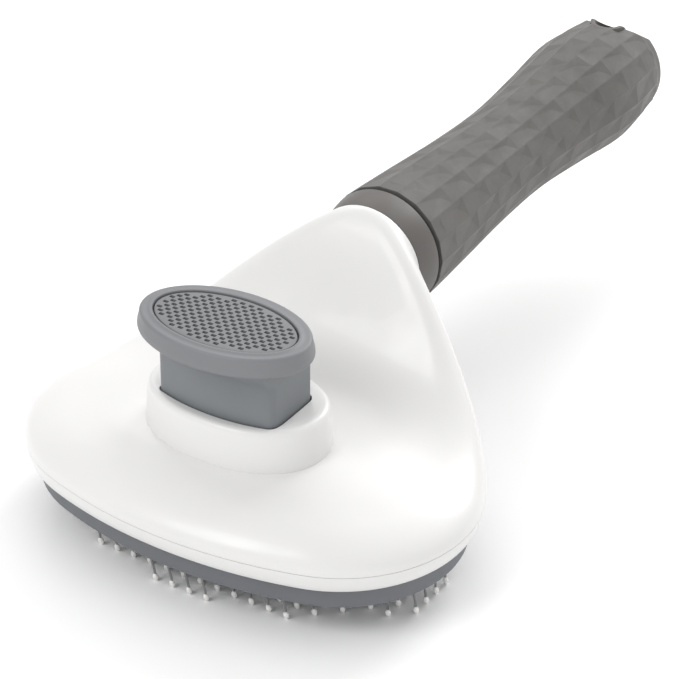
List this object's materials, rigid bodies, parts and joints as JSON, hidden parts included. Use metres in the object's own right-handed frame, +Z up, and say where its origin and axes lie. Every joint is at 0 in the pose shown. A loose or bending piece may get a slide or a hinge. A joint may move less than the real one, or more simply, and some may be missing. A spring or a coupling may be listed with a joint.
{
  "type": "slicker brush",
  "caption": "Self-cleaning pet slicker brush: rounded triangular head with ball-tipped pins, press button that drives an ejector plate, and a round faceted rubber handle.",
  "frame": {"origin": "bottom centre of the bounding box, on the plane of the pin tips", "axes": "+Y along the handle towards the butt, +Z up out of the button, pins point to -Z, X across the head"},
  "size_m": [0.1048, 0.1988, 0.0588],
  "materials": {
    "white_shell": "satin moulded ABS",
    "grey_plate": "satin moulded plastic",
    "grey_button": "satin moulded plastic",
    "grey_cap": "satin soft-touch plastic",
    "thumb_pad": "matt, with a grid of small recesses",
    "taupe_ring": "smooth satin",
    "rubber_grip": "matt, faceted",
    "core_plastic": "glass-filled",
    "pin_steel": "polished wire with coated ball tips",
    "spring_steel": "drawn wire",
    "screw_steel": "zinc plated"
  },
  "bodies": {
    "brush": {"upper_shell": "white_shell", "lower_shell": "white_shell", "pin_carrier": "pin_steel", "return_spring": "spring_steel", "carrier_screw_1": "screw_steel", "carrier_screw_2": "screw_steel", "carrier_screw_3": "screw_steel", "carrier_screw_4": "screw_steel", "shell_screw_left": "screw_steel", "shell_screw_right": "screw_steel", "handle_core": "core_plastic", "handle_ring": "taupe_ring", "rubber_grip": "rubber_grip", "tang_screw": "screw_steel", "hang_eyelet": "taupe_ring"},
    "button": {"ejector_plate": "grey_plate", "button_stem": "grey_button", "button_cap": "grey_cap", "thumb_pad": "thumb_pad", "plate_screw_left": "screw_steel", "plate_screw_right": "screw_steel"}
  },
  "joints": [
    {"name": "button_press", "type": "slide", "parent": "brush", "child": "button", "axis": [0, 0, -1], "range_m": [0, 0.0082], "stiffness_N_per_m": 900, "springref_m": -0.003, "deforming": ["return_spring"]}
  ]
}
